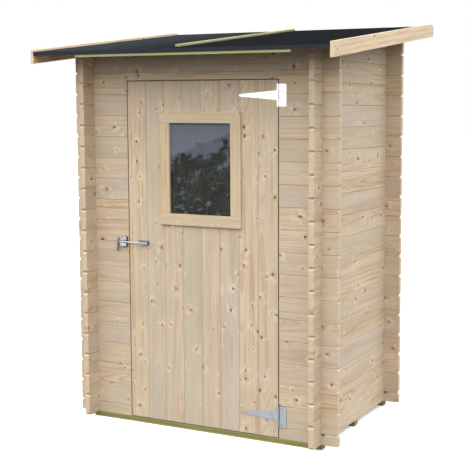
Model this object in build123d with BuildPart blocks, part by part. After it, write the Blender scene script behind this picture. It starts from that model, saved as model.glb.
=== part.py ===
import math
import os

from build123d import *

# Wooden log-board garden shed with a single-slope roof, a ledged plank door and a fixed door window.
# Millimetres. +Z is up, +Y runs from the door to the rear wall. The origin is on the ground, under
# the middle of the roof.

# Walls: boards with a tongue and groove, laid flat side out and notched through each other at the corners
log_height = 114
log_thickness = 28
house_width = 1394
house_depth = 902
corner_overhang = 93
full_logs_front = 17
tongue_height = 7
groove_depth = 3
end_chamfer = 10

# Ground frame and floor
joist_height = 28
joist_width = 40
joist_overhang = 6
joist_end_round = 7
floor_thickness = 18
floor_wall_gap = 4
floor_board = 96
floor_groove = 3

# Roof
roof_side_overhang = 178
roof_end_overhang = 266
deck_thickness = 18
deck_board = 94
deck_groove = 3.5
felt_thickness = 3
felt_turn_down = 20
fascia_thickness = 18
fascia_height = 73
fascia_reveal = 11
fascia_clip_height = 14
fascia_clip_length = 42
purlin_width = 60
purlin_height = 38
edge_batten_width = 16
edge_batten_height = 12
eave_batten_left = 108
eave_batten_length = 1243
seam_batten_width = 30
seam_batten_height = 18
seam_batten_from_left = 670
seam_batten_front_inset = 104
seam_batten_rear_inset = 6
seam_batten_chamfer = 3

# Doorway and door
door_width = 903
door_height = 1831
door_left = 249
door_ground_gap = 4
door_gap = 6
door_planks = 8
plank_thickness = 23
plank_groove = 2.5
head_joint_height = 1917
stop_width = 45
stop_thickness = 28
stop_lap = 15
ledge_height = 95
ledge_thickness = 19
ledge_end_inset = 28
ledge_low = 150
ledge_middle = 880
ledge_high = 1765
brace_foot_length = 104
brace_end_gap = 2
ledge_chamfer = 4

# Door window
window_width = 490
window_height = 600
window_sill_height = 1077
window_trim_width = 61
window_trim_thickness = 15
window_trim_chamfer = 2
window_rebate = 12
glass_thickness = 4
glass_gap = 2

# T hinges
hinge_plate_width = 45
hinge_plate_height = 111
hinge_leaf_thickness = 3
hinge_pin_radius = 3
hinge_pin_head_radius = 4.6
hinge_pin_head = 2
hinge_knuckle_radius = 5.5
hinge_running_clearance = 0.1
hinge_knuckle_gap = 0.5
hinge_stand_off = 1
strap_length = 222
strap_root_height = 48
strap_tip_height = 11
hinge_high = 1759
hinge_low = 115

# Latch: a bar on the door that springs into a fork on the wall, with a tapered lever at its free end
latch_height = 972
catch_width = 40
catch_height = 54
catch_depth = 20
catch_base = 4
catch_slot = 12
catch_round = 6
catch_edge_gap = 5
bar_radius = 4
bar_stand_off = 14
bar_left = 184
lever_rise = 22
lever_drop = 52
lever_lean = 12
lever_root_radius = 7
lever_tip_radius = 5
lever_end_chamfer = 2
foot_left = 316
foot_length = 58
foot_height = 21
foot_thickness = 22
foot_round = 5

# Worked out from the values above
wall_base = joist_height
front_face = -house_depth / 2
rear_face = house_depth / 2
left_face = -house_width / 2
right_face = house_width / 2
slope = math.atan2(log_height, house_depth - log_thickness)
front_wall_top = wall_base + (full_logs_front + 0.5) * log_height + tongue_height
roof_front = front_face - roof_end_overhang
roof_rear = rear_face + roof_end_overhang
roof_left = left_face - roof_side_overhang
roof_right = right_face + roof_side_overhang
opening_left = left_face + door_left - door_gap
opening_right = left_face + door_left + door_width + door_gap
leaf_left = opening_left + door_gap
leaf_right = opening_right - door_gap
leaf_bottom = wall_base + door_ground_gap
leaf_top = leaf_bottom + door_height
opening_top = leaf_top + door_gap
hinge_x = leaf_right + door_gap / 2
hinge_y = front_face - hinge_knuckle_radius - hinge_stand_off
tall = 2 * (front_wall_top + house_depth)


def roof_z(y):
    """Height of the boarding's underside at depth y."""
    return front_wall_top + (y - front_face - log_thickness / 2) * math.tan(slope)


# The roof plane: local x is across the house, local y runs up the slope, z is square to the boarding
roof_plane = Plane(
    origin=(0, 0, roof_z(0)), x_dir=(1, 0, 0), z_dir=(0, -math.sin(slope), math.cos(slope))
)


def save(piece, name):
    piece.part.label = name
    export_step(piece.part, f"parts/{name}.step")


def board_joints(width, board):
    """Places of the joints in a row of boards that is centred on the house."""
    half_count = math.ceil(width / 2 / board)
    return [(i + 0.5) * board for i in range(-half_count, half_count) if abs(i + 0.5) * board < width / 2]


def v_groove(depth, mode=Mode.SUBTRACT):
    """A square on its corner, whose lower half cuts a V of the given depth."""
    Rectangle(depth * math.sqrt(2), depth * math.sqrt(2), rotation=45, mode=mode)


def log_face(near, far, bottom, top, joints):
    """Upright cross-section of a stack of logs, with a V groove in both faces at every joint."""
    right = [(far, bottom)]
    left = []
    for joint in joints:
        if bottom + 2 * groove_depth < joint < top - 2 * groove_depth:
            right += [(far, joint - groove_depth), (far - groove_depth, joint), (far, joint + groove_depth)]
            left += [(near, joint - groove_depth), (near + groove_depth, joint), (near, joint + groove_depth)]
    return right + [(far, top), (near, top)] + left[::-1] + [(near, bottom)]


def corner_cuts(half_span, slots, joints):
    """Half-height notches for the crossing logs, and the chamfers on the log ends."""
    crossing = half_span - log_thickness / 2
    end = half_span + corner_overhang
    with Locations(*[(side * crossing, z) for side in (-1, 1) for z in slots]):
        Rectangle(log_thickness, log_height / 2)
    with Locations(*[(side * end, z) for side in (-1, 1) for z in joints]):
        v_groove(end_chamfer, Mode.ADD)


# Front and rear walls start on a half log, the side walls on a whole one
log_rows = range(full_logs_front + 4)
cross_joints = [wall_base + (row + 0.5) * log_height for row in log_rows]
side_joints = [wall_base + row * log_height for row in log_rows]

os.makedirs("parts", exist_ok=True)

# Joists, laid flat under the front wall, the middle of the floor and the rear wall
joist_places = {
    "joist_front": front_face + joist_width / 2,
    "joist_middle": 0,
    "joist_rear": rear_face - joist_width / 2,
}
for name, y in joist_places.items():
    with BuildPart() as joist:
        with BuildSketch(Plane.XY) as outline:
            with Locations((0, y)):
                Rectangle(house_width + 2 * joist_overhang, joist_width)
        extrude(amount=joist_height)
        ends = joist.faces().filter_by(Axis.X).edges().filter_by(Axis.Y).group_by(Axis.Z)[0]
        fillet(ends, radius=joist_end_round)
    save(joist, name)

# Floor boards, nailed across the joists inside the walls
floor_width = house_width - 2 * log_thickness - 2 * floor_wall_gap
floor_depth = house_depth - 2 * log_thickness - 2 * floor_wall_gap
with BuildPart() as floor:
    with BuildSketch(Plane.XZ.offset(-floor_depth / 2)) as floor_section:
        with Locations((0, wall_base)):
            Rectangle(floor_width, floor_thickness, align=(Align.CENTER, Align.MIN))
        with Locations(*[(x, wall_base + floor_thickness) for x in board_joints(floor_width, floor_board)]):
            v_groove(floor_groove)
    extrude(amount=floor_depth)
save(floor, "floor_boards")


def cross_wall(near, x_low, x_high, bottom, joints):
    """A wall that runs across the house, cut to the slope of the roof."""
    with BuildPart() as wall:
        with BuildSketch(Plane.YZ.offset(x_low)) as section:
            with BuildLine():
                Polyline(*log_face(near, near + log_thickness, bottom, tall, joints), close=True)
            make_face()
        extrude(amount=x_high - x_low)
        with BuildSketch(Plane.XZ) as cuts:
            corner_cuts(house_width / 2, side_slots, cross_joints)
        extrude(amount=house_depth, both=True, mode=Mode.SUBTRACT)
        split(bisect_by=roof_plane, keep=Keep.BOTTOM)
    return wall


# A cross log's neck is centred on the joint of the side logs, so its slots are where the side logs pass
side_slots = [wall_base + (row + 0.5) * log_height for row in log_rows]
cross_slots = [wall_base + row * log_height for row in log_rows]
wall_end = house_width / 2 + corner_overhang

save(cross_wall(front_face, -wall_end, opening_left, wall_base, cross_joints), "front_wall_left")
save(cross_wall(front_face, opening_right, wall_end, wall_base, cross_joints), "front_wall_right")
save(
    cross_wall(front_face, opening_left, opening_right, opening_top, [wall_base + head_joint_height]),
    "front_wall_over_door",
)
save(cross_wall(rear_face - log_thickness, -wall_end, wall_end, wall_base, cross_joints), "rear_wall")

# Side walls, with a seat for the purlin in the top log
for name, near in {"side_wall_left": left_face, "side_wall_right": right_face - log_thickness}.items():
    with BuildPart() as side_wall:
        wall_depth = house_depth + 2 * corner_overhang
        with BuildSketch(Plane.XZ.offset(-wall_depth / 2)) as section:
            with BuildLine():
                Polyline(*log_face(near, near + log_thickness, wall_base, tall, side_joints), close=True)
            make_face()
        extrude(amount=wall_depth)
        with BuildSketch(Plane.YZ) as cuts:
            corner_cuts(house_depth / 2, cross_slots, side_joints)
        extrude(amount=house_width, both=True, mode=Mode.SUBTRACT)
        split(bisect_by=roof_plane, keep=Keep.BOTTOM)
        with BuildSketch(roof_plane) as seat:
            Rectangle(house_width + 2 * roof_side_overhang, purlin_width)
        extrude(amount=-purlin_height, mode=Mode.SUBTRACT)
    save(side_wall, name)

# Roof: purlin, boarding, felt folded over both ends, fascia boards and battens
roof_length = (roof_rear - roof_front) / math.cos(slope)
deck_width = roof_right - roof_left - 2 * fascia_thickness

with BuildPart() as purlin:
    with BuildSketch(roof_plane) as purlin_outline:
        Rectangle(deck_width, purlin_width)
    extrude(amount=-purlin_height)
save(purlin, "roof_purlin")

with BuildPart() as deck:
    with BuildSketch(roof_plane) as deck_outline:
        Rectangle(deck_width, roof_length - 2 * felt_thickness)
    extrude(amount=deck_thickness)
    with BuildSketch(Plane(roof_plane.origin, x_dir=(1, 0, 0), z_dir=roof_plane.y_dir)) as deck_grooves:
        with Locations(*[(x, 0) for x in board_joints(deck_width, deck_board)]):
            v_groove(deck_groove, Mode.ADD)
    extrude(amount=roof_length, both=True, mode=Mode.SUBTRACT)
save(deck, "roof_boarding")

felt_top = deck_thickness + felt_thickness
with BuildPart() as felt:
    with BuildSketch(Plane(roof_plane.origin, x_dir=roof_plane.y_dir, z_dir=(1, 0, 0))) as felt_section:
        half = roof_length / 2
        inner = half - felt_thickness
        fold = felt_top - felt_turn_down
        with BuildLine():
            Polyline(
                (-half, fold), (-inner, fold), (-inner, deck_thickness), (inner, deck_thickness),
                (inner, fold), (half, fold), (half, felt_top), (-half, felt_top), close=True,
            )
        make_face()
    extrude(amount=deck_width / 2, both=True)
save(felt, "roof_felt")

for name, inner_x, side in (("fascia_left", roof_left, 1), ("fascia_right", roof_right, -1)):
    with BuildPart() as fascia:
        with BuildSketch(Plane.YZ.offset(inner_x)) as fascia_outline:
            top_front = roof_z(roof_front) + (felt_top + fascia_reveal) / math.cos(slope)
            top_rear = roof_z(roof_rear) + (felt_top + fascia_reveal) / math.cos(slope)
            with BuildLine():
                Polyline(
                    (roof_front, top_front - fascia_height), (roof_rear, top_rear - fascia_height),
                    (roof_rear, top_rear - fascia_clip_height),
                    (roof_rear - fascia_clip_length, top_rear - fascia_clip_length * math.tan(slope)),
                    (roof_front, top_front), close=True,
                )
            make_face()
        extrude(amount=side * fascia_thickness)
    save(fascia, name)

# The battens under both ends of the boarding are flush with the edge that the felt is folded over
edge_battens = {
    "eave_batten": (-1, left_face + eave_batten_left + eave_batten_length / 2, eave_batten_length),
    "rear_batten": (1, 0, deck_width),
}
for name, (end, middle, length) in edge_battens.items():
    with BuildPart() as batten:
        with BuildSketch(roof_plane) as batten_outline:
            with Locations((middle, end * (roof_length / 2 - felt_thickness - edge_batten_width / 2))):
                Rectangle(length, edge_batten_width)
        extrude(amount=-edge_batten_height)
    save(batten, name)

with BuildPart() as seam_batten:
    seam_length = roof_length - seam_batten_front_inset - seam_batten_rear_inset
    seam_middle = (seam_batten_front_inset - seam_batten_rear_inset) / 2
    with BuildSketch(roof_plane.offset(felt_top)) as seam_outline:
        with Locations((left_face + seam_batten_from_left, seam_middle)):
            Rectangle(seam_batten_width, seam_length)
    extrude(amount=seam_batten_height)
    along_slope = Axis((0, 0, 0), roof_plane.y_dir)
    chamfer(seam_batten.edges().filter_by(along_slope).group_by(Axis.Z)[-1], length=seam_batten_chamfer)
save(seam_batten, "felt_seam_batten")

# Stops that the door closes against, fixed to the inner face of the front wall
stop_front = front_face + log_thickness
stop_places = {
    "door_stop_left": opening_left + stop_lap - stop_width / 2,
    "door_stop_right": opening_right - stop_lap + stop_width / 2,
}
floor_top = wall_base + floor_thickness
for name, x in stop_places.items():
    with BuildPart() as stop:
        with BuildSketch(Plane.XY.offset(floor_top)) as stop_outline:
            with Locations((x, stop_front)):
                Rectangle(stop_width, stop_thickness, align=(Align.CENTER, Align.MIN))
        extrude(amount=opening_top - stop_lap - floor_top)
    save(stop, name)
with BuildPart() as head_stop:
    with BuildSketch(Plane.XY.offset(opening_top - stop_lap)) as head_outline:
        with Locations(((opening_left + opening_right) / 2, stop_front)):
            head_length = opening_right - opening_left + 2 * (stop_width - stop_lap)
            Rectangle(head_length, stop_thickness, align=(Align.CENTER, Align.MIN))
    extrude(amount=stop_width)
save(head_stop, "door_stop_head")

# Door leaf: eight upright planks with V joints, cut out for the window
leaf_centre = (leaf_left + leaf_right) / 2
plank_width = door_width / door_planks
plank_joints = [leaf_left + i * plank_width for i in range(1, door_planks)]
window_centre_z = wall_base + window_sill_height + window_height / 2
sight_width = window_width - 2 * window_trim_width
sight_height = window_height - 2 * window_trim_width
glass_width = sight_width + 2 * window_rebate
glass_height = sight_height + 2 * window_rebate
with BuildPart() as leaf:
    with BuildSketch(Plane.XY.offset(leaf_bottom)) as leaf_section:
        with Locations((leaf_centre, front_face)):
            Rectangle(door_width, plank_thickness, align=(Align.CENTER, Align.MIN))
        with Locations(*[(x, y) for x in plank_joints for y in (front_face, front_face + plank_thickness)]):
            v_groove(plank_groove)
    extrude(amount=door_height)
    with BuildSketch(Plane.XZ.offset(-front_face)) as window_hole:
        with Locations((leaf_centre, window_centre_z)):
            Rectangle(glass_width + 2 * glass_gap, glass_height + 2 * glass_gap)
    extrude(amount=-plank_thickness, mode=Mode.SUBTRACT)
save(leaf, "door_leaf")

# Ledges across the inside of the planks, and a brace up from the hinge side
ledge_back = front_face + plank_thickness
ledge_length = door_width - 2 * ledge_end_inset
ledges = {"door_ledge_bottom": ledge_low, "door_ledge_middle": ledge_middle, "door_ledge_top": ledge_high}
for name, z in ledges.items():
    with BuildPart() as ledge:
        with BuildSketch(Plane.XZ.offset(-ledge_back)) as ledge_outline:
            with Locations((leaf_centre, wall_base + z)):
                Rectangle(ledge_length, ledge_height)
        extrude(amount=-ledge_thickness)
        chamfer(ledge.faces().sort_by(Axis.Y)[-1].edges(), length=ledge_chamfer)
    save(ledge, name)
with BuildPart() as brace:
    brace_low = wall_base + ledge_low + ledge_height / 2 + brace_end_gap
    brace_high = wall_base + ledge_middle - ledge_height / 2 - brace_end_gap
    hinge_end = leaf_right - ledge_end_inset
    latch_end = leaf_left + ledge_end_inset
    with BuildSketch(Plane.XZ.offset(-ledge_back)) as brace_outline:
        with BuildLine():
            Polyline(
                (hinge_end, brace_low), (hinge_end - brace_foot_length, brace_low),
                (latch_end, brace_high), (latch_end + brace_foot_length, brace_high), close=True,
            )
        make_face()
    extrude(amount=-ledge_thickness)
save(brace, "door_brace")

# Window: four outer and four inner trim boards, butted, that hold the pane in the planks
rail_z = window_height / 2 - window_trim_width / 2
stile_x = window_width / 2 - window_trim_width / 2
stile_length = window_height - 2 * window_trim_width
trim_boards = {
    "top": ((0, rail_z), (window_width, window_trim_width)),
    "bottom": ((0, -rail_z), (window_width, window_trim_width)),
    "left": ((-stile_x, 0), (window_trim_width, stile_length)),
    "right": ((stile_x, 0), (window_trim_width, stile_length)),
}
trim_faces = {"window_trim": (front_face, -1), "window_inner_trim": (ledge_back, 1)}
for group, (start, outward) in trim_faces.items():
    for place, ((x, z), (width, height)) in trim_boards.items():
        with BuildPart() as trim:
            with BuildSketch(Plane.XZ.offset(-start)) as trim_outline:
                with Locations((leaf_centre + x, window_centre_z + z)):
                    Rectangle(width, height)
            extrude(amount=-outward * window_trim_thickness)
            proud = trim.faces().sort_by(Axis.Y)[0 if outward < 0 else -1]
            chamfer(proud.edges(), length=window_trim_chamfer)
        save(trim, f"{group}_{place}")
with BuildPart() as pane:
    with BuildSketch(Plane.XZ.offset(-front_face)) as pane_outline:
        with Locations((leaf_centre, window_centre_z)):
            Rectangle(glass_width, glass_height)
    extrude(amount=-glass_thickness)
save(pane, "window_pane")

# T hinges: a plate on the wall with two knuckles, a tapered strap on the door with one, and the pin
bore_radius = hinge_pin_radius + hinge_running_clearance
for height_name, hinge_z in (("top", wall_base + hinge_high), ("bottom", wall_base + hinge_low)):
    strap_low = hinge_z - strap_root_height / 2
    strap_high = hinge_z + strap_root_height / 2
    plate_low = hinge_z - hinge_plate_height / 2
    plate_high = hinge_z + hinge_plate_height / 2
    middle_low = strap_low - hinge_knuckle_gap
    middle_high = strap_high + hinge_knuckle_gap
    with BuildPart() as plate:
        with BuildSketch(Plane.XZ.offset(-front_face)) as plate_outline:
            with Locations((hinge_x, hinge_z)):
                Rectangle(hinge_plate_width, hinge_plate_height, align=(Align.MIN, Align.CENTER))
            with Locations((hinge_x, hinge_z)):
                Rectangle(
                    hinge_knuckle_radius + hinge_stand_off, middle_high - middle_low,
                    align=(Align.MIN, Align.CENTER), mode=Mode.SUBTRACT,
                )
        extrude(amount=hinge_leaf_thickness)
        for low, high in ((plate_low, middle_low), (middle_high, plate_high)):
            with BuildSketch(Plane.XY.offset(low)) as knuckle:
                with Locations((hinge_x, hinge_y)):
                    Circle(hinge_knuckle_radius)
            extrude(amount=high - low)
        with BuildSketch(Plane.XY.offset(plate_low)) as bore:
            with Locations((hinge_x, hinge_y)):
                Circle(bore_radius)
        extrude(amount=hinge_plate_height, mode=Mode.SUBTRACT)
    save(plate, f"hinge_plate_{height_name}")
    with BuildPart() as strap:
        tip_x = hinge_x - strap_length
        with BuildSketch(Plane.XZ.offset(-front_face)) as strap_outline:
            with BuildLine():
                tip_centre = tip_x + strap_tip_height / 2
                lower = Line(
                    (hinge_x, strap_low), (tip_centre, hinge_z - strap_tip_height / 2)
                )
                tip = ThreePointArc(lower @ 1, (tip_x, hinge_z), (tip_centre, hinge_z + strap_tip_height / 2))
                upper = Line(tip @ 1, (hinge_x, strap_high))
                Line(upper @ 1, lower @ 0)
            make_face()
        extrude(amount=hinge_leaf_thickness)
        with BuildSketch(Plane.XY.offset(strap_low)) as strap_knuckle:
            with Locations((hinge_x, hinge_y)):
                Circle(hinge_knuckle_radius)
        extrude(amount=strap_root_height)
        with BuildSketch(Plane.XY.offset(strap_low)) as strap_bore:
            with Locations((hinge_x, hinge_y)):
                Circle(bore_radius)
        extrude(amount=strap_root_height, mode=Mode.SUBTRACT)
    save(strap, f"hinge_strap_{height_name}")
    with BuildPart() as pin:
        with BuildSketch(Plane.XY.offset(plate_low)) as pin_section:
            with Locations((hinge_x, hinge_y)):
                Circle(hinge_pin_radius)
        extrude(amount=hinge_plate_height)
        for face_z, direction in ((plate_low, -1), (plate_high, 1)):
            with BuildSketch(Plane.XY.offset(face_z)) as head:
                with Locations((hinge_x, hinge_y)):
                    Circle(hinge_pin_head_radius)
            extrude(amount=direction * hinge_pin_head)
    save(pin, f"hinge_pin_{height_name}")

# Latch: the fork stands on the wall beside the doorway, open to the front
latch_z = wall_base + latch_height
catch_right = opening_left - catch_edge_gap
with BuildPart() as catch:
    with BuildSketch(Plane.YZ.offset(catch_right - catch_width)) as catch_section:
        with Locations((front_face, latch_z)):
            Rectangle(catch_depth, catch_height, align=(Align.MAX, Align.CENTER))
        outer = catch_section.vertices().group_by(Axis.Y)[0]
        fillet(outer, radius=catch_round)
        with Locations((front_face - catch_base, latch_z)):
            Rectangle(catch_depth, catch_slot, align=(Align.MAX, Align.CENTER), mode=Mode.SUBTRACT)
    extrude(amount=catch_width)
save(catch, "latch_catch")

bar_y = front_face - bar_stand_off
foot_x = left_face + foot_left
bar_end = Vector(left_face + bar_left, bar_y, latch_z)
lever_axis = Vector(-lever_lean, 0, -lever_rise - lever_drop).normalized()
lever_top = bar_end + lever_axis * (lever_rise / lever_axis.Z)
lever_tip = bar_end - lever_axis * (lever_drop / lever_axis.Z)
with BuildPart() as bar:
    with BuildSketch(Plane(origin=(foot_x, bar_y, latch_z), z_dir=(-1, 0, 0))) as bar_section:
        Circle(bar_radius)
    extrude(amount=foot_left - bar_left)
    with BuildSketch(Plane(origin=lever_top, z_dir=lever_axis)) as lever_root:
        Circle(lever_root_radius)
    with BuildSketch(Plane(origin=lever_tip, z_dir=lever_axis)) as lever_end:
        Circle(lever_tip_radius)
    loft()
    lever_rims = bar.edges().filter_by(GeomType.CIRCLE).group_by(Axis.Z)
    chamfer(lever_rims[0] + lever_rims[-1], length=lever_end_chamfer)
save(bar, "latch_bar")
with BuildPart() as foot:
    with BuildSketch(Plane.XZ.offset(-front_face)) as foot_outline:
        with Locations((foot_x, latch_z)):
            Rectangle(foot_length, foot_height, align=(Align.MIN, Align.CENTER))
    extrude(amount=foot_thickness)
    fillet(foot.faces().sort_by(Axis.Y)[0].edges(), radius=foot_round)
save(foot, "latch_foot")
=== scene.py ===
import math
import random
import bpy
from mathutils import Matrix, Vector


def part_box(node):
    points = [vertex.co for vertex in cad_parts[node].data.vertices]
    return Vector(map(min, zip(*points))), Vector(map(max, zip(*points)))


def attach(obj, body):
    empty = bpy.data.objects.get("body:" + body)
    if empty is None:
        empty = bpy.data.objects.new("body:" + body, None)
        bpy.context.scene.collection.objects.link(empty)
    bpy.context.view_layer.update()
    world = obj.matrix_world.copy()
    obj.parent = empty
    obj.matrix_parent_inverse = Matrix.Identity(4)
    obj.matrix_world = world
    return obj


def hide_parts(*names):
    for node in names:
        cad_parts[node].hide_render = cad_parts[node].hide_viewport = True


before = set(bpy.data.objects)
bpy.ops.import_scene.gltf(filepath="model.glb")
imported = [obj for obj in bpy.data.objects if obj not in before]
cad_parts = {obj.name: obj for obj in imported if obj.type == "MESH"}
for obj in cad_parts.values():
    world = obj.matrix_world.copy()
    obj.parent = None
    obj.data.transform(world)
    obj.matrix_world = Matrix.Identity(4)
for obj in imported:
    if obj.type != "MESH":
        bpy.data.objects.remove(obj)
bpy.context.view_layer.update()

mm = 0.001
quarter = math.pi / 2
print("frame loaded")


def linearColour(hexText):
    # sRGB hex to the linear colour that the shaders want
    channels = [int(hexText[i:i + 2], 16) / 255 for i in (1, 3, 5)]
    return tuple(c / 12.92 if c <= 0.04045 else ((c + 0.055) / 1.055) ** 2.4 for c in channels) + (1,)


def addNode(tree, kind, inputs=(), **settings):
    # one node with its settings; a socket or a node is linked, anything else is a value
    node = tree.nodes.new("ShaderNode" + kind)
    for key, value in settings.items():
        setattr(node, key, value)
    for key, value in inputs.items() if isinstance(inputs, dict) else enumerate(inputs):
        if isinstance(value, bpy.types.Node):
            value = [socket for socket in value.outputs if socket.enabled][0]
        if isinstance(value, bpy.types.NodeSocket):
            tree.links.new(value, node.inputs[key])
        else:
            node.inputs[key].default_value = value
    return node


def newMaterial(name):
    # material with an empty node tree
    material = bpy.data.materials.new(name)
    material.use_nodes = True
    material.node_tree.nodes.clear()
    return material, material.node_tree


def finishNodes(material, *nodeNames):
    # CAD nodes keep their mesh and only get a new finish
    for name in nodeNames:
        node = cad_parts[name]
        node.data.materials.clear()
        node.data.materials.append(material)


# Where the boards lie, read from the frame, so that each board gets a tone of its own
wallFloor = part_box("side_wall_left")[0].z
doorLow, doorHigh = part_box("door_leaf")
boards = {
    "logPitch": 114 * mm,  # one course of the walls
    "plankCount": 8,
    "plankPitch": (doorHigh.x - doorLow.x) / 8,
    "deckPitch": 94 * mm,
    "floorPitch": 96 * mm,
    "floorCount": 14,
    "ledgePitch": 300 * mm,  # wider than a ledge, so each is one board
}
slope = math.atan2(114, 874)  # the roof climbs one course over the depth of the house
braceRise = 631 / 743  # the brace's height over its width
turns = {
    "across": (0, 0, 0),  # grain along X, boards stacked along Z
    "deep": (0, 0, -quarter),  # grain along Y, boards stacked along Z
    "upright": (0, quarter, 0),  # grain along Z, boards side by side along X
    "floor": (quarter, quarter, 0),  # grain along Y, boards side by side along X
    "uphill": (-slope, 0, -quarter),  # grain up the roof, width upright
    "uphillFlat": (quarter - slope, quarter, 0),  # grain up the roof, boards side by side along X
    "brace": (0, -math.atan(braceRise), 0),  # grain along the brace, from the low hinge side
}

# Planed spruce, untreated: pale and dull, with warm late-wood lines, orange streaks and brown knots
spruce = {
    "pale": "#dfccb0",  # fresh yellowish board
    "grey": "#d0c0ae",  # pinkish grey board
    "green": "#d2c6a9",  # cool sapwood board
    "late": "#b9956a",
    "streak": "#bd895c",
    "knot": "#86543a",
    "knotRim": "#55362a",
    "halo": "#bf9468",
    "flame": "#ece0c8",  # light patches where the fibres turn up round a knot
    # painted light on the end faces
    "endLight": "#d9c4a0",
    "joint": "#7d6c59",
    "boardShift": 9.0,  # metres that one board's figure is cut away from the next one's
    "ringSpacing": 3.4 * mm,
    "ringShape": ((0.0, 0.0), (0.45, 0.12), (0.86, 1.0), (1.0, 0.0)),  # early wood rises slowly to late wood
    "ringDeepening": 0.35,  # how much the figure changes through the board
    "pithDepth": (20 * mm, 80 * mm, 70 * mm),  # least, chance of the board, drift along it
    "pithSpread": 120 * mm,  # chance place of the pith across the board
    "bandWidth": 12 * mm,
    "lateTone": (0.16, 0.5),  # least, and more on a warm board
    "bandGain": 1.6,
    "bandTone": 0.3,
    "streakTone": 0.62,
    "wanderSize": (1100 * mm, 160 * mm),  # how slowly the pith line drifts, along and across
    "fibreSize": (110 * mm, 2.2 * mm),  # length and width of a bundle of fibres
    "streakSize": (420 * mm, 14 * mm),
    "cloudSize": (300 * mm, 90 * mm),
    "knotSpacing": 92 * mm,
    "knotRadius": 7 * mm,
    "knotShare": 0.4,
    "knotDrawn": 0.8,  # knots are a little longer along the grain
    "knotSizes": (0.4, 0.85),  # least, and chance of the knot
    "wobbleSize": 9 * mm,
    "wobble": 0.6,
    "ringBulge": 14 * mm,  # how far a knot pushes the rings out
    "haloFade": -0.3,
    "haloTone": 0.6,
    "flameFade": -0.04,
    "flameSize": 26 * mm,
    "flameTone": 0.65,
    "rimTone": 0.45,
    "endLightTone": 0.5,
    "jointWidth": 0.9 * mm,
    "reliefDepth": 0.25 * mm,
    "contrast": 1.0,
    "roughness": 0.62,
}


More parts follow.
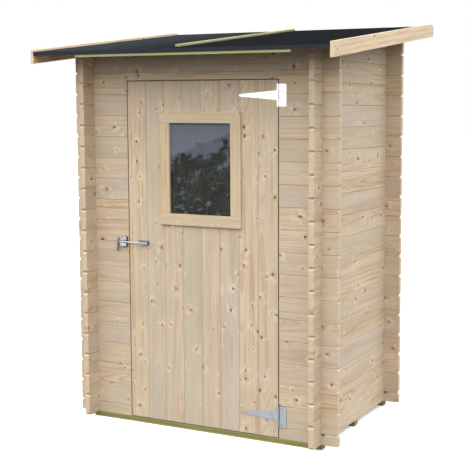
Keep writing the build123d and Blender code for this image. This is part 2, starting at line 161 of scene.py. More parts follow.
def makeWood(name, look, turn, pitch=1.0, start=0.0, seed=0.0, jointDepth=0.35):
    # turn brings the grain onto X and the width of the boards onto Z
    material, tree = newMaterial(name)
    paint = {key: linearColour(value) for key, value in look.items() if isinstance(value, str)}
    contrast = look["contrast"]
    coords = addNode(tree, "TexCoord")
    turned = addNode(tree, "Mapping", {0: coords.outputs["Object"], 2: turn}, vector_type="POINT")
    along, deep, across = addNode(tree, "SeparateXYZ", [turned]).outputs

    # the number of the board, and its own tone, shift and ring curve
    scaled = addNode(tree, "Math", [across, start], operation="SUBTRACT")
    scaled = addNode(tree, "Math", [scaled, pitch], operation="DIVIDE")
    number = addNode(tree, "Math", [scaled], operation="FLOOR")
    boardSeed = addNode(tree, "Math", [number, seed])
    chance = addNode(tree, "TexWhiteNoise", {"W": boardSeed}, noise_dimensions="1D")
    tone, shift, curve = addNode(tree, "SeparateXYZ", [chance.outputs["Color"]]).outputs
    fraction = addNode(tree, "Math", [scaled, number], operation="SUBTRACT")
    local = addNode(tree, "Math", [fraction, pitch, -pitch / 2], operation="MULTIPLY_ADD")
    boardAlong = addNode(tree, "Math", [shift, look["boardShift"], along], operation="MULTIPLY_ADD")
    point = addNode(tree, "CombineXYZ", [boardAlong, deep, across])
    warmth = addNode(tree, "Math", [1.0, tone], operation="SUBTRACT")

    # pith drift, fibres, streaks and slow clouds of tone, all noise drawn out along the grain
    drawnOut = {}
    for kind in ("wander", "fibre", "streak", "cloud"):
        length, width = look[kind + "Size"]
        density = (1 / length, 1 / width, 1 / width)
        vector = addNode(tree, "VectorMath", [point, density], operation="MULTIPLY")
        noise = {"Vector": vector, "Scale": 1.0, "Detail": 2.0, "Roughness": 0.5}
        drawnOut[kind] = addNode(tree, "TexNoise", noise)

    # knots: a chance in each cell, as round bars that run through the board
    drawn = addNode(tree, "Math", [boardAlong, look["knotDrawn"]], operation="MULTIPLY")
    knotPoint = addNode(tree, "CombineXYZ", [drawn, across, 0.0])
    cells = addNode(
        tree, "TexVoronoi", {"Vector": knotPoint, "Scale": 1 / look["knotSpacing"], "Randomness": 0.95},
        voronoi_dimensions="2D",
    )
    present, sized, toned = addNode(tree, "SeparateXYZ", [cells.outputs["Color"]]).outputs
    share = [warmth, 1.1 * look["knotShare"], 0.45 * look["knotShare"]]  # warm boards are knottier
    share = addNode(tree, "Math", share, operation="MULTIPLY_ADD")
    hasKnot = addNode(tree, "Math", [present, share], operation="LESS_THAN")
    leastSize, moreSize = look["knotSizes"]
    size = addNode(tree, "Math", [sized, moreSize, leastSize], operation="MULTIPLY_ADD")
    wobble = addNode(tree, "TexNoise", {"Vector": point, "Scale": 1 / look["wobbleSize"], "Detail": 1.0})
    radii = look["knotSpacing"] / look["knotRadius"]
    reach = addNode(tree, "Math", [cells.outputs["Distance"], radii], operation="MULTIPLY")
    reach = addNode(tree, "Math", [reach, size], operation="DIVIDE")
    reach = addNode(tree, "Math", [wobble, look["wobble"], reach], operation="MULTIPLY_ADD")
    reach = addNode(tree, "Math", [reach, look["wobble"] / 2], operation="SUBTRACT")
    squared = addNode(tree, "Math", [reach, 2.0], operation="POWER")
    around = {}
    for kind in ("halo", "flame"):
        fade = addNode(tree, "Math", [squared, look[kind + "Fade"]], operation="MULTIPLY")
        fade = addNode(tree, "Math", [fade], operation="EXPONENT")
        around[kind] = addNode(tree, "Math", [fade, hasKnot], operation="MULTIPLY")

    # growth rings: the distance from a wandering pith line behind the face, pushed out round each knot
    leastPith, pithChance, pithDrift = look["pithDepth"]
    pithDeep = addNode(tree, "Math", [curve, pithChance, leastPith], operation="MULTIPLY_ADD")
    pithDeep = addNode(tree, "Math", [drawnOut["wander"], pithDrift, pithDeep], operation="MULTIPLY_ADD")
    ringDeep = addNode(tree, "Math", [deep, look["ringDeepening"], pithDeep], operation="MULTIPLY_ADD")
    pithSide = [shift, look["pithSpread"], -look["pithSpread"] / 2]
    pithAcross = addNode(tree, "Math", pithSide, operation="MULTIPLY_ADD")
    ringAcross = addNode(tree, "Math", [local, pithAcross])
    fromPith = addNode(tree, "CombineXYZ", [ringAcross, ringDeep, 0.0])
    radius = addNode(tree, "VectorMath", [fromPith], operation="LENGTH").outputs["Value"]
    radius = addNode(tree, "Math", [around["halo"], look["ringBulge"], radius], operation="MULTIPLY_ADD")
    ring = addNode(tree, "Math", [radius, look["ringSpacing"]], operation="DIVIDE")
    ring = addNode(tree, "Math", [ring], operation="FRACT")
    ramp = addNode(tree, "ValToRGB", [ring])
    stops = ramp.color_ramp.elements
    for position, level in look["ringShape"]:
        element = stops[-1] if position == 1.0 else stops.new(position)
        element.color = (level, level, level, 1)
    late = ramp.outputs["Color"]
    bandPlace = addNode(tree, "Math", [radius, look["bandWidth"]], operation="DIVIDE")
    bands = addNode(tree, "TexNoise", {"W": bandPlace, "Scale": 1.0, "Detail": 1.0}, noise_dimensions="1D")

    # the board's own tone, then its late wood, bands and streaks, then slow clouds and fine fibres
    colour = addNode(tree, "Mix", {0: tone, 6: paint["pale"], 7: paint["grey"]}, data_type="RGBA")
    coolAmount = addNode(tree, "MapRange", [curve, 0.55, 1.0, 0.0, 0.65])
    leastLate, moreLate = look["lateTone"]
    lateAmount = [warmth, moreLate * contrast, leastLate * contrast]
    lateAmount = addNode(tree, "Math", lateAmount, operation="MULTIPLY_ADD")
    lateAmount = addNode(tree, "Math", [lateAmount, late], operation="MULTIPLY")
    bandGain = addNode(tree, "Math", [bands, look["bandGain"]], operation="MULTIPLY")
    lateAmount = addNode(tree, "Math", [lateAmount, bandGain], operation="MULTIPLY")
    bandAmount = addNode(tree, "MapRange", [bands, 0.5, 0.72, 0.0, look["bandTone"] * contrast])
    streakAmount = [drawnOut["streak"], 0.56, 0.7, 0.0, look["streakTone"] * contrast]
    streakAmount = addNode(tree, "MapRange", streakAmount)
    streakAmount = addNode(tree, "Math", [streakAmount, warmth], operation="MULTIPLY")
    for amount, kind in (
        (coolAmount, "green"), (lateAmount, "late"), (bandAmount, "late"), (streakAmount, "streak"),
    ):
        colour = addNode(tree, "Mix", {0: amount, 6: colour, 7: paint[kind]}, data_type="RGBA")
    cloudTone = addNode(tree, "MapRange", [drawnOut["cloud"], 0.3, 0.7, 0.93, 1.05])
    fibreTone = addNode(tree, "MapRange", [drawnOut["fibre"], 0.25, 0.75, 0.94, 1.05])
    for shade in (cloudTone, fibreTone):
        colour = addNode(
            tree, "Mix", {0: 1.0, 6: colour, 7: shade}, data_type="RGBA", blend_type="MULTIPLY"
        )

    # round a knot: warm halo and pale flames, then the brown heart with its dark bark line
    haloAmount = addNode(tree, "Math", [around["halo"], look["haloTone"]], operation="MULTIPLY")
    flame = addNode(tree, "TexNoise", {"Vector": point, "Scale": 1 / look["flameSize"], "Detail": 0.0})
    flameAmount = addNode(tree, "MapRange", [flame, 0.48, 0.62, 0.0, look["flameTone"]])
    flameAmount = addNode(tree, "Math", [flameAmount, around["flame"]], operation="MULTIPLY")
    heartAmount = addNode(tree, "MapRange", [reach, 1.0, 0.75, 0.0, 1.0])
    heartAmount = addNode(tree, "Math", [heartAmount, hasKnot], operation="MULTIPLY")
    heartTone = addNode(tree, "Mix", {0: toned, 6: paint["knot"], 7: paint["halo"]}, data_type="RGBA")
    fromRim = addNode(tree, "Math", [reach, 0.88], operation="SUBTRACT")
    fromRim = addNode(tree, "Math", [fromRim], operation="ABSOLUTE")
    rimAmount = addNode(tree, "MapRange", [fromRim, 0.2, 0.05, 0.0, look["rimTone"]])
    rimAmount = addNode(tree, "Math", [rimAmount, hasKnot], operation="MULTIPLY")

    # painted light: sawn ends are painted paler and yellower than the faces, as on the log ends that face
    # the light
    facing = addNode(tree, "Mapping", {0: coords.outputs["Normal"], 2: turn}, vector_type="NORMAL")
    facingAlong = addNode(tree, "SeparateXYZ", [facing]).outputs[0]
    facingAlong = addNode(tree, "Math", [facingAlong], operation="ABSOLUTE")
    endLightAmount = addNode(tree, "MapRange", [facingAlong, 0.6, 0.9, 0.0, look["endLightTone"]])
    layers = [
        (haloAmount, paint["halo"]), (flameAmount, paint["flame"]), (heartAmount, heartTone),
        (rimAmount, paint["knotRim"]), (endLightAmount, paint["endLight"]),
    ]

    # the dark hairline between two boards: painted shade in the gap
    if jointDepth:
        edge = addNode(tree, "Math", [local], operation="ABSOLUTE")
        edge = addNode(tree, "Math", [pitch / 2, edge], operation="SUBTRACT")
        line = [edge, 0.5 * look["jointWidth"], look["jointWidth"], jointDepth, 0.0]
        layers.append((addNode(tree, "MapRange", line), paint["joint"]))
    for amount, layer in layers:
        colour = addNode(tree, "Mix", {0: amount, 6: colour, 7: layer}, data_type="RGBA")

    height = addNode(tree, "Math", [late, 0.4, drawnOut["fibre"]], operation="MULTIPLY_ADD")
    bump = addNode(tree, "Bump", {"Strength": 0.4, "Distance": look["reliefDepth"], "Height": height})
    shader = addNode(tree, "BsdfPrincipled", {
        "Base Color": colour, "Roughness": look["roughness"], "Specular IOR Level": 0.3, "Normal": bump,
    })
    addNode(tree, "OutputMaterial", [shader])
    return material


crossWalls = makeWood(
    "planedSpruceCrossWalls", spruce, turns["across"], boards["logPitch"],
    start=wallFloor + boards["logPitch"] / 2, seed=3.0, jointDepth=0.45,
)
finishNodes(crossWalls, "front_wall_left", "front_wall_right", "front_wall_over_door", "rear_wall")
sideSpruce = {
    **spruce, "wanderSize": (1900 * mm, 260 * mm), "contrast": 0.8, "knotSpacing": 105 * mm,
}
sideWalls = makeWood(
    "planedSpruceSideWalls", sideSpruce, turns["deep"], boards["logPitch"],
    start=wallFloor, seed=40.0, jointDepth=0.6,
)
finishNodes(sideWalls, "side_wall_left", "side_wall_right")

# Door boards are the better grade: lighter, with smaller and more frequent knots
doorSpruce = {
    **spruce, "knotSpacing": 84 * mm, "knotRadius": 6 * mm, "knotShare": 0.52,
    "streakSize": (520 * mm, 12 * mm), "contrast": 0.85,
}
doorPlanks = makeWood(
    "planedSpruceDoor", doorSpruce, turns["upright"], boards["plankPitch"],
    start=-doorHigh.x, seed=11.0, jointDepth=0.5,
)
finishNodes(doorPlanks, "door_leaf")

# Trim and fascia boards are freshly planed: creamier, with fine wavy grain
trimSpruce = {
    **spruce, "pale": "#dfcbab", "grey": "#dbc8ad", "green": "#dfcba9", "late": "#c6a477",
    "knotShare": 0.25, "knotRadius": 4 * mm, "streakSize": (300 * mm, 9 * mm),
}
for place, turn in (("top", "across"), ("bottom", "across"), ("left", "upright"), ("right", "upright")):
    seed = len(place) * 5.0
    trimBoard = makeWood(
        "planedSpruceTrim" + place.capitalize(), trimSpruce, turns[turn], seed=seed, jointDepth=0
    )
    finishNodes(trimBoard, "window_trim_" + place, "window_inner_trim_" + place)
fasciaSpruce = {
    **spruce, "pale": "#ecd8b6", "grey": "#e8d5b8", "green": "#ead6b0", "late": "#cda571",
    "endLight": "#e6d3b0", "knotShare": 0.35, "knotRadius": 5 * mm, "streakSize": (260 * mm, 10 * mm),
}
for side, seed in (("left", 2.0), ("right", 9.0)):
    fasciaBoard = makeWood(
        "planedSpruceFascia" + side.capitalize(), fasciaSpruce, turns["uphill"], seed=seed, jointDepth=0
    )
    finishNodes(fasciaBoard, "fascia_" + side)

# Sawn spruce out of sight: rougher, browner and duller than the planed boards
sawnSpruce = {
    **spruce, "pale": "#c2ab86", "grey": "#b3a087", "green": "#b8a783", "roughness": 0.8,
    "fibreSize": (60 * mm, 1.4 * mm), "contrast": 1.2,
}
deckSpruceShaded = {  # painted shade: darkened so that the shaded underside of the roof reads dark; the boards are plain sawn spruce
    **sawnSpruce, "pale": "#54493a", "grey": "#4d4437", "green": "#504636", "late": "#3f3322",
}
deckWoodShaded = makeWood(
    "sawnSpruceDeckPaintedShade", deckSpruceShaded, turns["uphillFlat"], boards["deckPitch"],
    start=-boards["deckPitch"] / 2, seed=5.0,
)
finishNodes(deckWoodShaded, "roof_boarding")
floorWood = makeWood(
    "sawnSpruceFloor", sawnSpruce, turns["floor"], boards["floorPitch"],
    start=-boards["floorPitch"] / 2, seed=6.0,
)
finishNodes(floorWood, "floor_boards")
for name, turn, pitch, seed, nodeNames in (
    ("Purlin", "across", 1.0, 7.0, ("roof_purlin", "door_stop_head")),
    ("Ledges", "across", boards["ledgePitch"], 4.0,
     ("door_ledge_top", "door_ledge_middle", "door_ledge_bottom")),
    ("Stops", "upright", 1.0, 8.0, ("door_stop_left", "door_stop_right")),
    ("Brace", "brace", 1.0, 12.0, ("door_brace",)),
):
    plainWood = makeWood("sawnSpruce" + name, sawnSpruce, turns[turn], pitch, seed=seed, jointDepth=0)
    finishNodes(plainWood, *nodeNames)

# Pressure-treated softwood: the salts leave it yellow-green, greener and darker in the thick joists
treatedBatten = {
    **spruce, "pale": "#aaa97c", "grey": "#a2a275", "green": "#9c9c6c", "late": "#858253",
    "streak": "#8e8750", "halo": "#80784a", "flame": "#b8b68c", "endLight": "#aaa77b",
    "knotShare": 0.2, "knotRadius": 3 * mm, "roughness": 0.75, "contrast": 0.8,
}
edgeBatten = {**treatedBatten, "pale": "#c9c890", "grey": "#c0bf88", "green": "#bbba7f", "late": "#9d9a60"}
treatedJoist = {
    **treatedBatten, "pale": "#a8a266", "grey": "#98945c", "green": "#8f8d52", "late": "#77703c",
    "streak": "#6d6338", "endLight": "#8d8850", "flame": "#bdb77c", "knotRadius": 5 * mm, "contrast": 1.5,
}
edgeWood = makeWood("treatedPineEdgeBattens", edgeBatten, turns["across"], seed=1.0, jointDepth=0)
finishNodes(edgeWood, "eave_batten", "rear_batten")
seamWood = makeWood("treatedPineSeamBatten", treatedBatten, turns["uphill"], seed=2.0, jointDepth=0)
finishNodes(seamWood, "felt_seam_batten")
joistWood = makeWood("treatedPineJoists", treatedJoist, turns["across"], seed=5.0, jointDepth=0)
finishNodes(joistWood, "joist_front", "joist_middle", "joist_rear")
print("timber finishes made")

# Bitumen roofing felt: sand-faced sheet, black-blue, matt, with a fine grit and slight waves from the boards
felt = {
    "right": "#101318",
    "left": "#2b3035",  # the other sheet is lighter: partly a more faded sheet, partly painted sheen of grazing light
    "sheetAndSheenEdges": (-0.7, 0.1),  # metres across, where the one tone gives way to the other
    "fold": "#3c4149",  # painted light: the turned-down edge, facing forward, is painted lighter than the top
    "gritContrast": 1.3,
    "gritSize": 3 * mm,  # real grit is under 1 mm, drawn coarser so that it shows
    "gritDepth": 0.4 * mm,
    "waveSize": 94 * mm,
    "waveDepth": 2 * mm,
    "roughness": 0.88,
}
feltPaint, tree = newMaterial("sandedBitumenFelt")
coords = addNode(tree, "TexCoord")
sheetAcross = addNode(tree, "SeparateXYZ", [coords.outputs["Object"]])
# partly painted sheen: the felt is lighter towards the left
sheetAndSheenTone = addNode(tree, "MapRange", [sheetAcross.outputs[0], *felt["sheetAndSheenEdges"], 0.0, 1.0])
feltColour = addNode(
    tree, "Mix", {0: sheetAndSheenTone, 6: linearColour(felt["left"]), 7: linearColour(felt["right"])},
    data_type="RGBA",
)
grit = addNode(tree, "TexNoise", {
    "Vector": coords.outputs["Object"], "Scale": 1 / felt["gritSize"], "Detail": 2.0, "Roughness": 0.7,
})
gritTone = addNode(tree, "MapRange", [grit, 0.5, 0.75, 1.0, felt["gritContrast"]])
patches = addNode(
    tree, "TexNoise", {"Vector": coords.outputs["Object"], "Scale": 1 / felt["waveSize"], "Detail": 2.0}
)
patchTone = addNode(tree, "MapRange", [patches, 0.3, 0.7, 0.85, 1.15])
for shade in (gritTone, patchTone):
    feltColour = addNode(
        tree, "Mix", {0: 1.0, 6: feltColour, 7: shade}, data_type="RGBA", blend_type="MULTIPLY"
    )
# painted light: faces that look forward are painted lighter
facing = addNode(tree, "SeparateXYZ", [coords.outputs["Normal"]])
foldAmount = addNode(tree, "MapRange", [facing.outputs[1], -0.5, -0.9, 0.0, 0.9])
feltColour = addNode(
    tree, "Mix", {0: foldAmount, 6: feltColour, 7: linearColour(felt["fold"])}, data_type="RGBA"
)
waves = addNode(tree, "Bump", {"Strength": 0.3, "Distance": felt["waveDepth"], "Height": patches})
gritBump = addNode(
    tree, "Bump", {"Strength": 0.5, "Distance": felt["gritDepth"], "Height": grit, "Normal": waves}
)
feltShader = addNode(tree, "BsdfPrincipled", {
    "Base Color": feltColour, "Roughness": felt["roughness"], "Specular IOR Level": 0.01,
    "Normal": gritBump,
})
addNode(tree, "OutputMaterial", [feltShader])
finishNodes(feltPaint, "roof_felt")

# Window pane: 4 mm float glass before a dark room. Its colour is a painted reflection: pale sky above, dark
# broken masses below
glass = {
    "pale": "#6d727f",
    "shade": "#5b606e",  # painted reflection of a duller plane under a slanted edge
    "dark": "#0e120c",
    "mottle": "#484f40",
    "massSize": 95 * mm,
    "massTop": 305 * mm,  # where the dark masses end, before their noise is taken off
    "massBlur": 35 * mm,
    "massLean": -0.2,
    "massReach": 0.5,
    "gapSize": 72 * mm,
    "gapFlatness": (1.0, 1.0, 1.9),
    "gapBreaks": 0.22,
    "mottleSize": 13 * mm,
    "slantLean": -0.36,
    "slantEdges": (125 * mm, 129 * mm),
    "roughness": 0.04,
    "ior": 1.5,
}
paneLow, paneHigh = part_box("window_pane")
paneMiddle = (paneLow + paneHigh) / 2
glassPaint, tree = newMaterial("floatGlassPaintedReflection")
coords = addNode(tree, "TexCoord")
centred = addNode(tree, "Mapping", {0: coords.outputs["Object"], 1: -paneMiddle}, vector_type="POINT")
paneX, _, paneZ = addNode(tree, "SeparateXYZ", [centred]).outputs
masses = addNode(
    tree, "TexNoise", {"Vector": centred, "Scale": 1 / glass["massSize"], "Detail": 6.0, "Roughness": 0.62}
)
lean = addNode(tree, "Math", [paneX, glass["massLean"], paneZ], operation="MULTIPLY_ADD")
lean = addNode(tree, "Math", [masses, glass["massReach"], lean], operation="MULTIPLY_ADD")
paleAmount = addNode(
    tree, "MapRange", [lean, glass["massTop"], glass["massTop"] + glass["massBlur"], 0.0, 1.0]
)
flattened = addNode(tree, "VectorMath", [centred, glass["gapFlatness"]], operation="MULTIPLY")
gaps = addNode(
    tree, "TexNoise", {"Vector": flattened, "Scale": 1 / glass["gapSize"], "Detail": 3.0, "Roughness": 0.55}
)
mottling = addNode(
    tree, "TexNoise", {"Vector": centred, "Scale": 1 / glass["mottleSize"], "Detail": 4.0, "Roughness": 0.6}
)
brokenGaps = addNode(tree, "Math", [mottling, glass["gapBreaks"], gaps], operation="MULTIPLY_ADD")
gapAmount = addNode(tree, "MapRange", [brokenGaps, 0.67, 0.8, 0.0, 0.9])
mottleAmount = addNode(tree, "MapRange", [mottling, 0.38, 0.72, 0.0, 1.0])
mottleLight = addNode(tree, "MapRange", [masses, 0.38, 0.6, 0.05, 1.0])
mottleAmount = addNode(tree, "Math", [mottleAmount, mottleLight], operation="MULTIPLY")
slant = addNode(tree, "Math", [paneX, glass["slantLean"], paneZ], operation="MULTIPLY_ADD")
slantAmount = addNode(tree, "MapRange", [slant, *glass["slantEdges"], 0.0, 1.0])
paint = {kind: linearColour(glass[kind]) for kind in ("pale", "shade", "dark", "mottle")}
below = addNode(tree, "Mix", {0: mottleAmount, 6: paint["dark"], 7: paint["mottle"]}, data_type="RGBA")
below = addNode(tree, "Mix", {0: gapAmount, 6: below, 7: paint["shade"]}, data_type="RGBA")
above = addNode(tree, "Mix", {0: slantAmount, 6: paint["shade"], 7: paint["pale"]}, data_type="RGBA")
# the pane's base colour is this painted reflection of sky, a slanted plane and dark masses
paneReflectionPaint = addNode(tree, "Mix", {0: paleAmount, 6: below, 7: above}, data_type="RGBA")
glassShader = addNode(tree, "BsdfPrincipled", {
    "Base Color": paneReflectionPaint, "Roughness": glass["roughness"], "IOR": glass["ior"],
    "Specular IOR Level": 0.14,
})
addNode(tree, "OutputMaterial", [glassShader])
finishNodes(glassPaint, "window_pane")


def makeMetal(name, look):
    # bare or plated steel: full metal, with soft patches of tone and roughness; on zinc the patches are
    # spangle, on chrome they are a painted reflection
    material, tree = newMaterial(name)
    coords = addNode(tree, "TexCoord")
    patches = addNode(
        tree, "TexVoronoi",
        {"Vector": coords.outputs["Object"], "Scale": 1 / look["spangleAndReflectionSize"], "Randomness": 1.0},
    )
    level = addNode(tree, "SeparateXYZ", [patches.outputs["Color"]])
    tone = addNode(tree, "MapRange", [level.outputs[0], 0.0, 1.0, 1.0 - look["spangleAndPaintedReflection"], 1.0])
    base = linearColour(look["colour"])
    # painted shade: the part of the bar left of tipPlace is painted darker
    if "shadedTipColour" in look:
        across = addNode(tree, "SeparateXYZ", [coords.outputs["Object"]]).outputs[0]
        tipEdge = look["tipPlace"]
        shadedTipAmount = addNode(tree, "MapRange", [across, tipEdge, tipEdge - look["tipBlur"], 0.0, 1.0])
        base = addNode(
            tree, "Mix", {0: shadedTipAmount, 6: base, 7: linearColour(look["shadedTipColour"])}, data_type="RGBA"
        )
    base = addNode(tree, "Mix", {0: 1.0, 6: base, 7: tone}, data_type="RGBA", blend_type="MULTIPLY")
    scuffs = addNode(
        tree, "TexNoise", {"Vector": coords.outputs["Object"], "Scale": 1 / look["scuffSize"], "Detail": 3.0}
    )
    rough = addNode(tree, "MapRange", [scuffs, 0.3, 0.7, look["roughness"] * 0.7, look["roughness"] * 1.4])
    shader = addNode(tree, "BsdfPrincipled", {"Base Color": base, "Metallic": 1.0, "Roughness": rough})
    addNode(tree, "OutputMaterial", [shader])
    return material


# Steel fittings. Both hinges are the same zinc plate, in two painted copies: the upper one is painted nearly
# white as a painted highlight of the bright surroundings, the lower one bluer and duller
zinc = {"colour": "#f4f6f8", "roughness": 0.3, "spangleAndPaintedReflection": 0.05, "spangleAndReflectionSize": 4 * mm, "scuffSize": 12 * mm}
# painted highlight: the upper hinge's zinc is painted nearly white
zincPaintedHighlight = makeMetal("zincPlatePaintedHighlight", zinc)
finishNodes(zincPaintedHighlight, "hinge_plate_top", "hinge_strap_top", "hinge_pin_top")
lowerHingeZinc = makeMetal("zincPlateLowerHinge", {**zinc, "colour": "#939aa2", "roughness": 0.4, "spangleAndPaintedReflection": 0.12})
finishNodes(lowerHingeZinc, "hinge_plate_bottom", "hinge_strap_bottom", "hinge_pin_bottom")

# The latch is polished chrome plate; its lever, the bar's bent-down left end, is painted dark purple-grey as
# painted shade, and its foot is a blue-grey casting
# painted reflection: the chrome's strong patches of tone stand in for varied surroundings
chrome = {"colour": "#9fa2a7", "roughness": 0.2, "spangleAndPaintedReflection": 0.5, "spangleAndReflectionSize": 7 * mm, "scuffSize": 6 * mm}
finishNodes(makeMetal("polishedChromePlate", chrome), "latch_catch")
lever = {
    **chrome, "colour": "#d0d1d3", "spangleAndPaintedReflection": 0.05, "shadedTipColour": "#645860", "tipBlur": 3 * mm,
    "tipPlace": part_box("latch_foot")[0].x - 123 * mm,  # the lever starts this far left of the foot
}
finishNodes(makeMetal("chromeLeverWithPaintedShade", lever), "latch_bar")
foot = {**chrome, "colour": "#828895", "spangleAndPaintedReflection": 0.15, "roughness": 0.3}
finishNodes(makeMetal("castZincFoot", foot), "latch_foot")
screwSteel = makeMetal("zincScrewSteel", {**zinc, "colour": "#b4b9c0", "roughness": 0.35})
nailSteel = makeMetal("brightWireNails", {**zinc, "colour": "#a19c94", "roughness": 0.45})
print("felt, glass and metal finishes made")


def selectFaces(piece, wanted):
    # only the faces that pass the test are selected, in edit mode
    bpy.ops.object.mode_set(mode="EDIT")
    bpy.ops.mesh.select_mode(type="FACE")
    bpy.ops.mesh.select_all(action="DESELECT")
    bpy.ops.object.mode_set(mode="OBJECT")
    for face in piece.data.polygons:
        face.select = wanted(face)
    bpy.ops.object.mode_set(mode="EDIT")


# Pan-head wood screw, 4 mm, with a cross recess
screw = {
    "radius": 3.7 * mm,
    "height": 1.9 * mm,
    "rim": 1.0 * mm,
    "rimSteps": 3,
    "sides": 20,
    "recessLength": 4.4 * mm,
    "recessWidth": 0.95 * mm,
    "recessDepth": 1.0 * mm,
}


def modelScrewHead():
    # the seat is at the origin and the head looks along -Y
    bpy.ops.object.select_all(action="DESELECT")
    bpy.ops.mesh.primitive_cylinder_add(
        vertices=screw["sides"], radius=screw["radius"], depth=screw["height"],
        location=(0, -screw["height"] / 2, 0), rotation=(quarter, 0, 0),
    )
    head = bpy.context.object
    bpy.ops.object.transform_apply(location=True, rotation=True, scale=True)
    selectFaces(head, lambda face: face.normal.y < -0.9)
    bpy.ops.mesh.bevel(offset=screw["rim"], segments=screw["rimSteps"], affect="EDGES")
    bpy.ops.object.mode_set(mode="OBJECT")
    for turn in (0, quarter):
        bpy.ops.mesh.primitive_cube_add(
            size=1, location=(0, -screw["height"], 0), rotation=(0, turn, 0),
            scale=(screw["recessLength"], 2 * screw["recessDepth"], screw["recessWidth"]),
        )
        cutter = bpy.context.object
        recess = head.modifiers.new("recess", "BOOLEAN")
        recess.object = cutter
        bpy.ops.object.select_all(action="DESELECT")
        head.select_set(True)
        bpy.context.view_layer.objects.active = head
        bpy.ops.object.modifier_apply(modifier="recess")
        bpy.data.objects.remove(cutter)
    bpy.ops.object.shade_smooth_by_angle(angle=math.radians(35))
    return head


# Round wire nail, driven flush: a thin head with a flat rim round a shallow dish
nail = {"radius": 2.3 * mm, "height": 0.7 * mm, "rim": 1.0 * mm, "dish": 0.25 * mm, "sides": 14}


def modelNailHead():
    # the seat is at the origin and the head looks along -Y
    bpy.ops.object.select_all(action="DESELECT")
    bpy.ops.mesh.primitive_cylinder_add(
        vertices=nail["sides"], radius=nail["radius"], depth=nail["height"],
        location=(0, -nail["height"] / 2, 0), rotation=(quarter, 0, 0),
    )
    head = bpy.context.object
    bpy.ops.object.transform_apply(location=True, rotation=True, scale=True)
    selectFaces(head, lambda face: face.normal.y < -0.9)
    bpy.ops.mesh.inset(thickness=nail["rim"])
    bpy.ops.transform.translate(value=(0, nail["dish"], 0))
    bpy.ops.object.mode_set(mode="OBJECT")
    bpy.ops.object.shade_smooth_by_angle(angle=math.radians(35))
    return head


def driveFasteners(name, head, places, body, finish, size=1.0):
    # copies of one head, each with its own mesh, set square to its face at a chance turn, then joined
    turnsOfChance = random.Random(name)
    copies = []
    for place, facing in places:
        copy = head.copy()
        copy.data = head.data.copy()
        bpy.context.collection.objects.link(copy)
        outward = Vector(facing).normalized()
        square = Vector((0, -1, 0)).rotation_difference(outward).to_matrix().to_4x4()
        spin = Matrix.Rotation(turnsOfChance.uniform(0, quarter), 4, outward)
        copy.data.transform(Matrix.Translation(place) @ spin @ square @ Matrix.Scale(size, 4))
        copies.append(copy)
    bpy.ops.object.select_all(action="DESELECT")
    for copy in copies:
        copy.select_set(True)
    bpy.context.view_layer.objects.active = copies[0]
    bpy.ops.object.join()
    piece = bpy.context.object
    piece.name = name
    piece.data.materials.clear()
    piece.data.materials.append(finish)
    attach(piece, body)
    print(name, len(places))


front, back, up = (0, -1, 0), (0, 1, 0), (0, 0, 1)
screwHead = modelScrewHead()
nailHead = modelNailHead()

# Hinge screws: staggered pairs on the plates and along the straps, measured from the pin
hingeScrews = {
    "leaf": 3 * mm,
    "knuckle": 5.5 * mm,
    "plate": ((23, 16), (12, -14), (22, 43), (22, -43)),  # mm across and up from the middle of the pin
    "strap": ((-30, -9), (-44, 8), (-115, 0), (-188, 0)),
}
wallFace = doorLow.y
for place in ("top", "bottom"):
    plateLow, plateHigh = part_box("hinge_plate_" + place)
    pinX = plateLow.x + hingeScrews["knuckle"]
    pin = Vector((pinX, wallFace - hingeScrews["leaf"], (plateLow.z + plateHigh.z) / 2))
    for part, body in (("plate", "root"), ("strap", "door")):
        spots = [(pin + Vector((x * mm, 0, z * mm)), front) for x, z in hingeScrews[part]]
        name = "hinge" + part.capitalize() + "Screws" + place.capitalize()
        finish = screwSteel if place == "top" else lowerHingeZinc
        driveFasteners(name, screwHead, spots, body, finish)

# Door screws: one in each plank through every ledge, and two at each end of the brace
doorScrews = {
    "fromMiddle": 24 * mm,  # by turns above and below the ledge's middle
    "braceHalfWidth": 52 * mm,
    "bracePlaces": (60 * mm, 110 * mm),
}
spots = []
for ledge in ("bottom", "middle", "top"):
    ledgeLow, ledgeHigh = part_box("door_ledge_" + ledge)
    for plank in range(boards["plankCount"]):
        x = doorLow.x + (plank + 0.5) * boards["plankPitch"]
        offset = doorScrews["fromMiddle"] * (1 if plank % 2 else -1)
        z = (ledgeLow.z + ledgeHigh.z) / 2 + offset
        spots.append((Vector((x, ledgeHigh.y, z)), back))
braceLow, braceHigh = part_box("door_brace")
for side, x, z in ((-1, braceHigh.x, braceLow.z), (1, braceLow.x, braceHigh.z)):
    for reach in doorScrews["bracePlaces"]:
        across = x + side * (doorScrews["braceHalfWidth"] + reach)
        spots.append((Vector((across, braceHigh.y, z - side * braceRise * reach)), back))
driveFasteners("doorLedgeScrews", screwHead, spots, "door", screwSteel)

# Trim nails: one near each end and one in the middle of every trim board, outside and inside
trimNails = {"size": 0.45, "endInset": 30 * mm}
spots = []
for group, facing in (("window_trim_", front), ("window_inner_trim_", back)):
    for place in ("top", "bottom", "left", "right"):
        trimLow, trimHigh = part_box(group + place)
        face = trimLow.y if facing == front else trimHigh.y
        middle = (trimLow + trimHigh) / 2
        if place in ("top", "bottom"):
            reach = (trimHigh.x - trimLow.x) / 2 - trimNails["endInset"]
            spots += [(Vector((middle.x + side * reach, face, middle.z)), facing) for side in (-1, 0, 1)]
        else:
            reach = (trimHigh.z - trimLow.z) / 2 - trimNails["endInset"]
            spots += [(Vector((middle.x, face, middle.z + side * reach)), facing) for side in (-1, 0, 1)]
driveFasteners("windowTrimNails", nailHead, spots, "door", nailSteel, trimNails["size"])

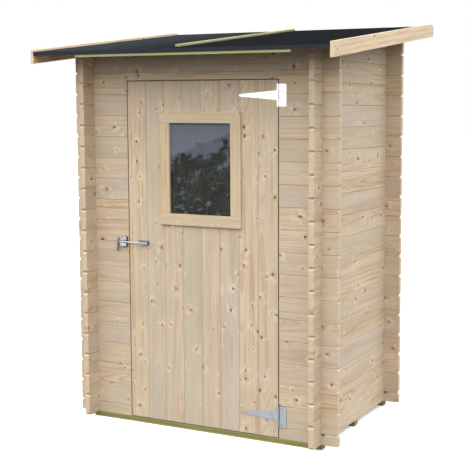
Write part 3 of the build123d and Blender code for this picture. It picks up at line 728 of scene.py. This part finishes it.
# Fascia nails, in a row into the edges of the boarding
fasciaNails = {"count": 6, "endInset": 60 * mm, "aboveLowEdge": 49 * mm, "sunk": 0.6 * mm}
spots = []
for place, outward in (("left", -1), ("right", 1)):
    fasciaLow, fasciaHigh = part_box("fascia_" + place)
    face = (fasciaLow.x if outward < 0 else fasciaHigh.x) - outward * fasciaNails["sunk"]
    run = fasciaHigh.y - fasciaLow.y - 2 * fasciaNails["endInset"]
    for number in range(fasciaNails["count"]):
        along = fasciaNails["endInset"] + run * number / (fasciaNails["count"] - 1)
        z = fasciaLow.z + fasciaNails["aboveLowEdge"] + along * math.tan(slope)
        spots.append((Vector((face, fasciaLow.y + along, z)), (outward, 0, 0)))
driveFasteners("fasciaNails", nailHead, spots, "root", nailSteel)

# Seam batten, sawn and slightly uneven, thinner than the CAD bar that it stands for
seamBatten = {
    "cadHeight": 18 * mm,
    "height": 12 * mm,
    "width": 26 * mm,
    "shorter": 4 * mm,
    "edge": 1.6 * mm,
    "cuts": 40,
    "unevenness": 0.5 * mm,
}
seamLow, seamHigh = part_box("felt_seam_batten")
roofNormal = Vector((0, -math.sin(slope), math.cos(slope)))
seamLength = (seamHigh.y - seamLow.y - seamBatten["cadHeight"] * math.sin(slope)) / math.cos(slope)
seamSeat = (seamLow + seamHigh) / 2 - roofNormal * seamBatten["cadHeight"] / 2
bpy.ops.object.select_all(action="DESELECT")
bpy.ops.mesh.primitive_cube_add(
    size=1, location=seamSeat + roofNormal * seamBatten["height"] / 2, rotation=(slope, 0, 0),
    scale=(seamBatten["width"], seamLength - seamBatten["shorter"], seamBatten["height"]),
)
batten = bpy.context.object
batten.name = "feltSeamBatten"
bpy.ops.object.transform_apply(location=True, rotation=True, scale=True)
bpy.ops.object.mode_set(mode="EDIT")
bpy.ops.mesh.select_all(action="SELECT")
bpy.ops.mesh.bevel(offset=seamBatten["edge"], segments=2, affect="EDGES")
for step in range(seamBatten["cuts"]):
    cutPlace = seamLow.y + (step + 1) * (seamHigh.y - seamLow.y) / (seamBatten["cuts"] + 1)
    bpy.ops.mesh.select_all(action="SELECT")
    bpy.ops.mesh.bisect(plane_co=(0, cutPlace, 0), plane_no=(0, 1, 0))
bpy.ops.mesh.select_all(action="SELECT")
bpy.ops.transform.vertex_random(offset=seamBatten["unevenness"], seed=3)
bpy.ops.object.mode_set(mode="OBJECT")
bpy.ops.object.shade_smooth_by_angle(angle=math.radians(30))
batten.data.materials.append(seamWood)
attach(batten, "root")
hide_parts("felt_seam_batten")

# Batten nails through the felt seam
battenNails = {"count": 7, "endInset": 50 * mm}
spots = []
seat = seamSeat + roofNormal * seamBatten["height"]
run = seamHigh.y - seamLow.y - 2 * battenNails["endInset"]
for number in range(battenNails["count"]):
    along = battenNails["endInset"] + run * number / (battenNails["count"] - 1)
    fromMiddle = seamLow.y + along - seat.y
    spots.append((seat + Vector((0, fromMiddle, fromMiddle * math.tan(slope))), roofNormal))
driveFasteners("seamBattenNails", nailHead, spots, "root", nailSteel)

# Floor nails: two in each board over every joist, where the board is whole
floorNails = {"edgeInset": 22 * mm, "endInset": 20 * mm, "clearOfWall": 5 * mm}
floorLow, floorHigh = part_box("floor_boards")
spots = []
for board in range(boards["floorCount"]):
    middle = (board - (boards["floorCount"] - 1) / 2) * boards["floorPitch"]
    for x in (middle - floorNails["edgeInset"], middle + floorNails["edgeInset"]):
        if floorLow.x + floorNails["clearOfWall"] < x < floorHigh.x - floorNails["clearOfWall"]:
            for y in (floorLow.y + floorNails["endInset"], 0.0, floorHigh.y - floorNails["endInset"]):
                spots.append((Vector((x, y, floorHigh.z)), up))
driveFasteners("floorNails", nailHead, spots, "root", nailSteel)
bpy.data.objects.remove(screwHead)
bpy.data.objects.remove(nailHead)

# Camera at the viewpoint of the photograph
camera = {
    "place": (2.76435, -4.99630, 1.70897),
    "yaw": 25.258,
    "pitch": -5.758,
    "roll": -0.125,
    "focalPixels": 1015.51,
    "photoWidth": 470,
    "principal": (307.75, 213.28),
    "sensorWidth": 36,
}
bpy.ops.object.camera_add(location=camera["place"])
photoCamera = bpy.context.object
photoCamera.rotation_euler = [
    math.radians(angle) for angle in (90 + camera["pitch"], camera["roll"], camera["yaw"])
]
photoCamera.data.sensor_width = camera["sensorWidth"]
photoCamera.data.lens = camera["focalPixels"] * camera["sensorWidth"] / camera["photoWidth"]
photoCamera.data.shift_x = 0.5 - camera["principal"][0] / camera["photoWidth"]
photoCamera.data.shift_y = camera["principal"][1] / camera["photoWidth"] - 0.5
photoCamera.data.clip_end = 200
bpy.context.scene.camera = photoCamera

# Plain studio: white surroundings give nearly all the light, and one soft lamp lifts the front
studio = {
    "horizonLight": 1.0,
    "zenithLight": 2.7,  # an even overcast is brightest overhead
    "lampPower": 60,
    "lampPlace": (-0.6, -7.2, 4.9),
    "lampTarget": (0, 0, 1),
    "lampSize": 2.5,
    "floorSize": 120,
    "floorDark": "#2c2a28",  # what the object sees of the floor
    "floorPale": "#fbfaf8",  # what the camera sees
    "floorGlow": 0.28,
}
bpy.ops.object.light_add(type="AREA", location=studio["lampPlace"])
lamp = bpy.context.object
lamp.data.energy = studio["lampPower"]
lamp.data.size = studio["lampSize"]
lampAim = Vector(studio["lampTarget"]) - Vector(studio["lampPlace"])
lamp.rotation_euler = lampAim.to_track_quat("-Z", "Y").to_euler()


def seenRays(tree):
    # 1 for the rays that show a background: camera, glossy and transmission
    path = addNode(tree, "LightPath").outputs
    seen = addNode(tree, "Math", [path["Is Camera Ray"], path["Is Glossy Ray"]], operation="MAXIMUM")
    return addNode(tree, "Math", [seen, path["Is Transmission Ray"]], operation="MAXIMUM")


world = bpy.data.worlds.new("studioSurroundings")
bpy.context.scene.world = world
world.use_nodes = True
tree = world.node_tree
tree.nodes.clear()
direction = addNode(tree, "SeparateXYZ", [addNode(tree, "TexCoord").outputs["Generated"]])
ambient = addNode(
    tree, "MapRange", [direction.outputs[2], 0.0, 1.0, studio["horizonLight"], studio["zenithLight"]]
)
skyStrength = addNode(tree, "Mix", {0: seenRays(tree), 2: ambient, 3: 1.0})
sky = addNode(tree, "Background", [(1, 1, 1, 1), skyStrength])
addNode(tree, "OutputWorld", [sky])

bpy.ops.mesh.primitive_plane_add(size=studio["floorSize"])
floor = bpy.context.object
floor.name = "studioFloor"
floorPaint, tree = newMaterial("paleStudioFloor")
floorSeen = seenRays(tree)
floorColour = addNode(
    tree, "Mix", {0: floorSeen, 6: linearColour(studio["floorDark"]), 7: linearColour(studio["floorPale"])},
    data_type="RGBA",
)
floorGlow = addNode(tree, "Math", [floorSeen, studio["floorGlow"]], operation="MULTIPLY")
floorShader = addNode(tree, "BsdfPrincipled", {
    "Base Color": floorColour, "Roughness": 1.0, "Specular IOR Level": 0.0,
    "Emission Color": (1, 1, 1, 1), "Emission Strength": floorGlow,
})
addNode(tree, "OutputMaterial", [floorShader])
floor.data.materials.append(floorPaint)
bpy.context.scene.view_settings.view_transform = "Standard"
print("camera and studio placed")
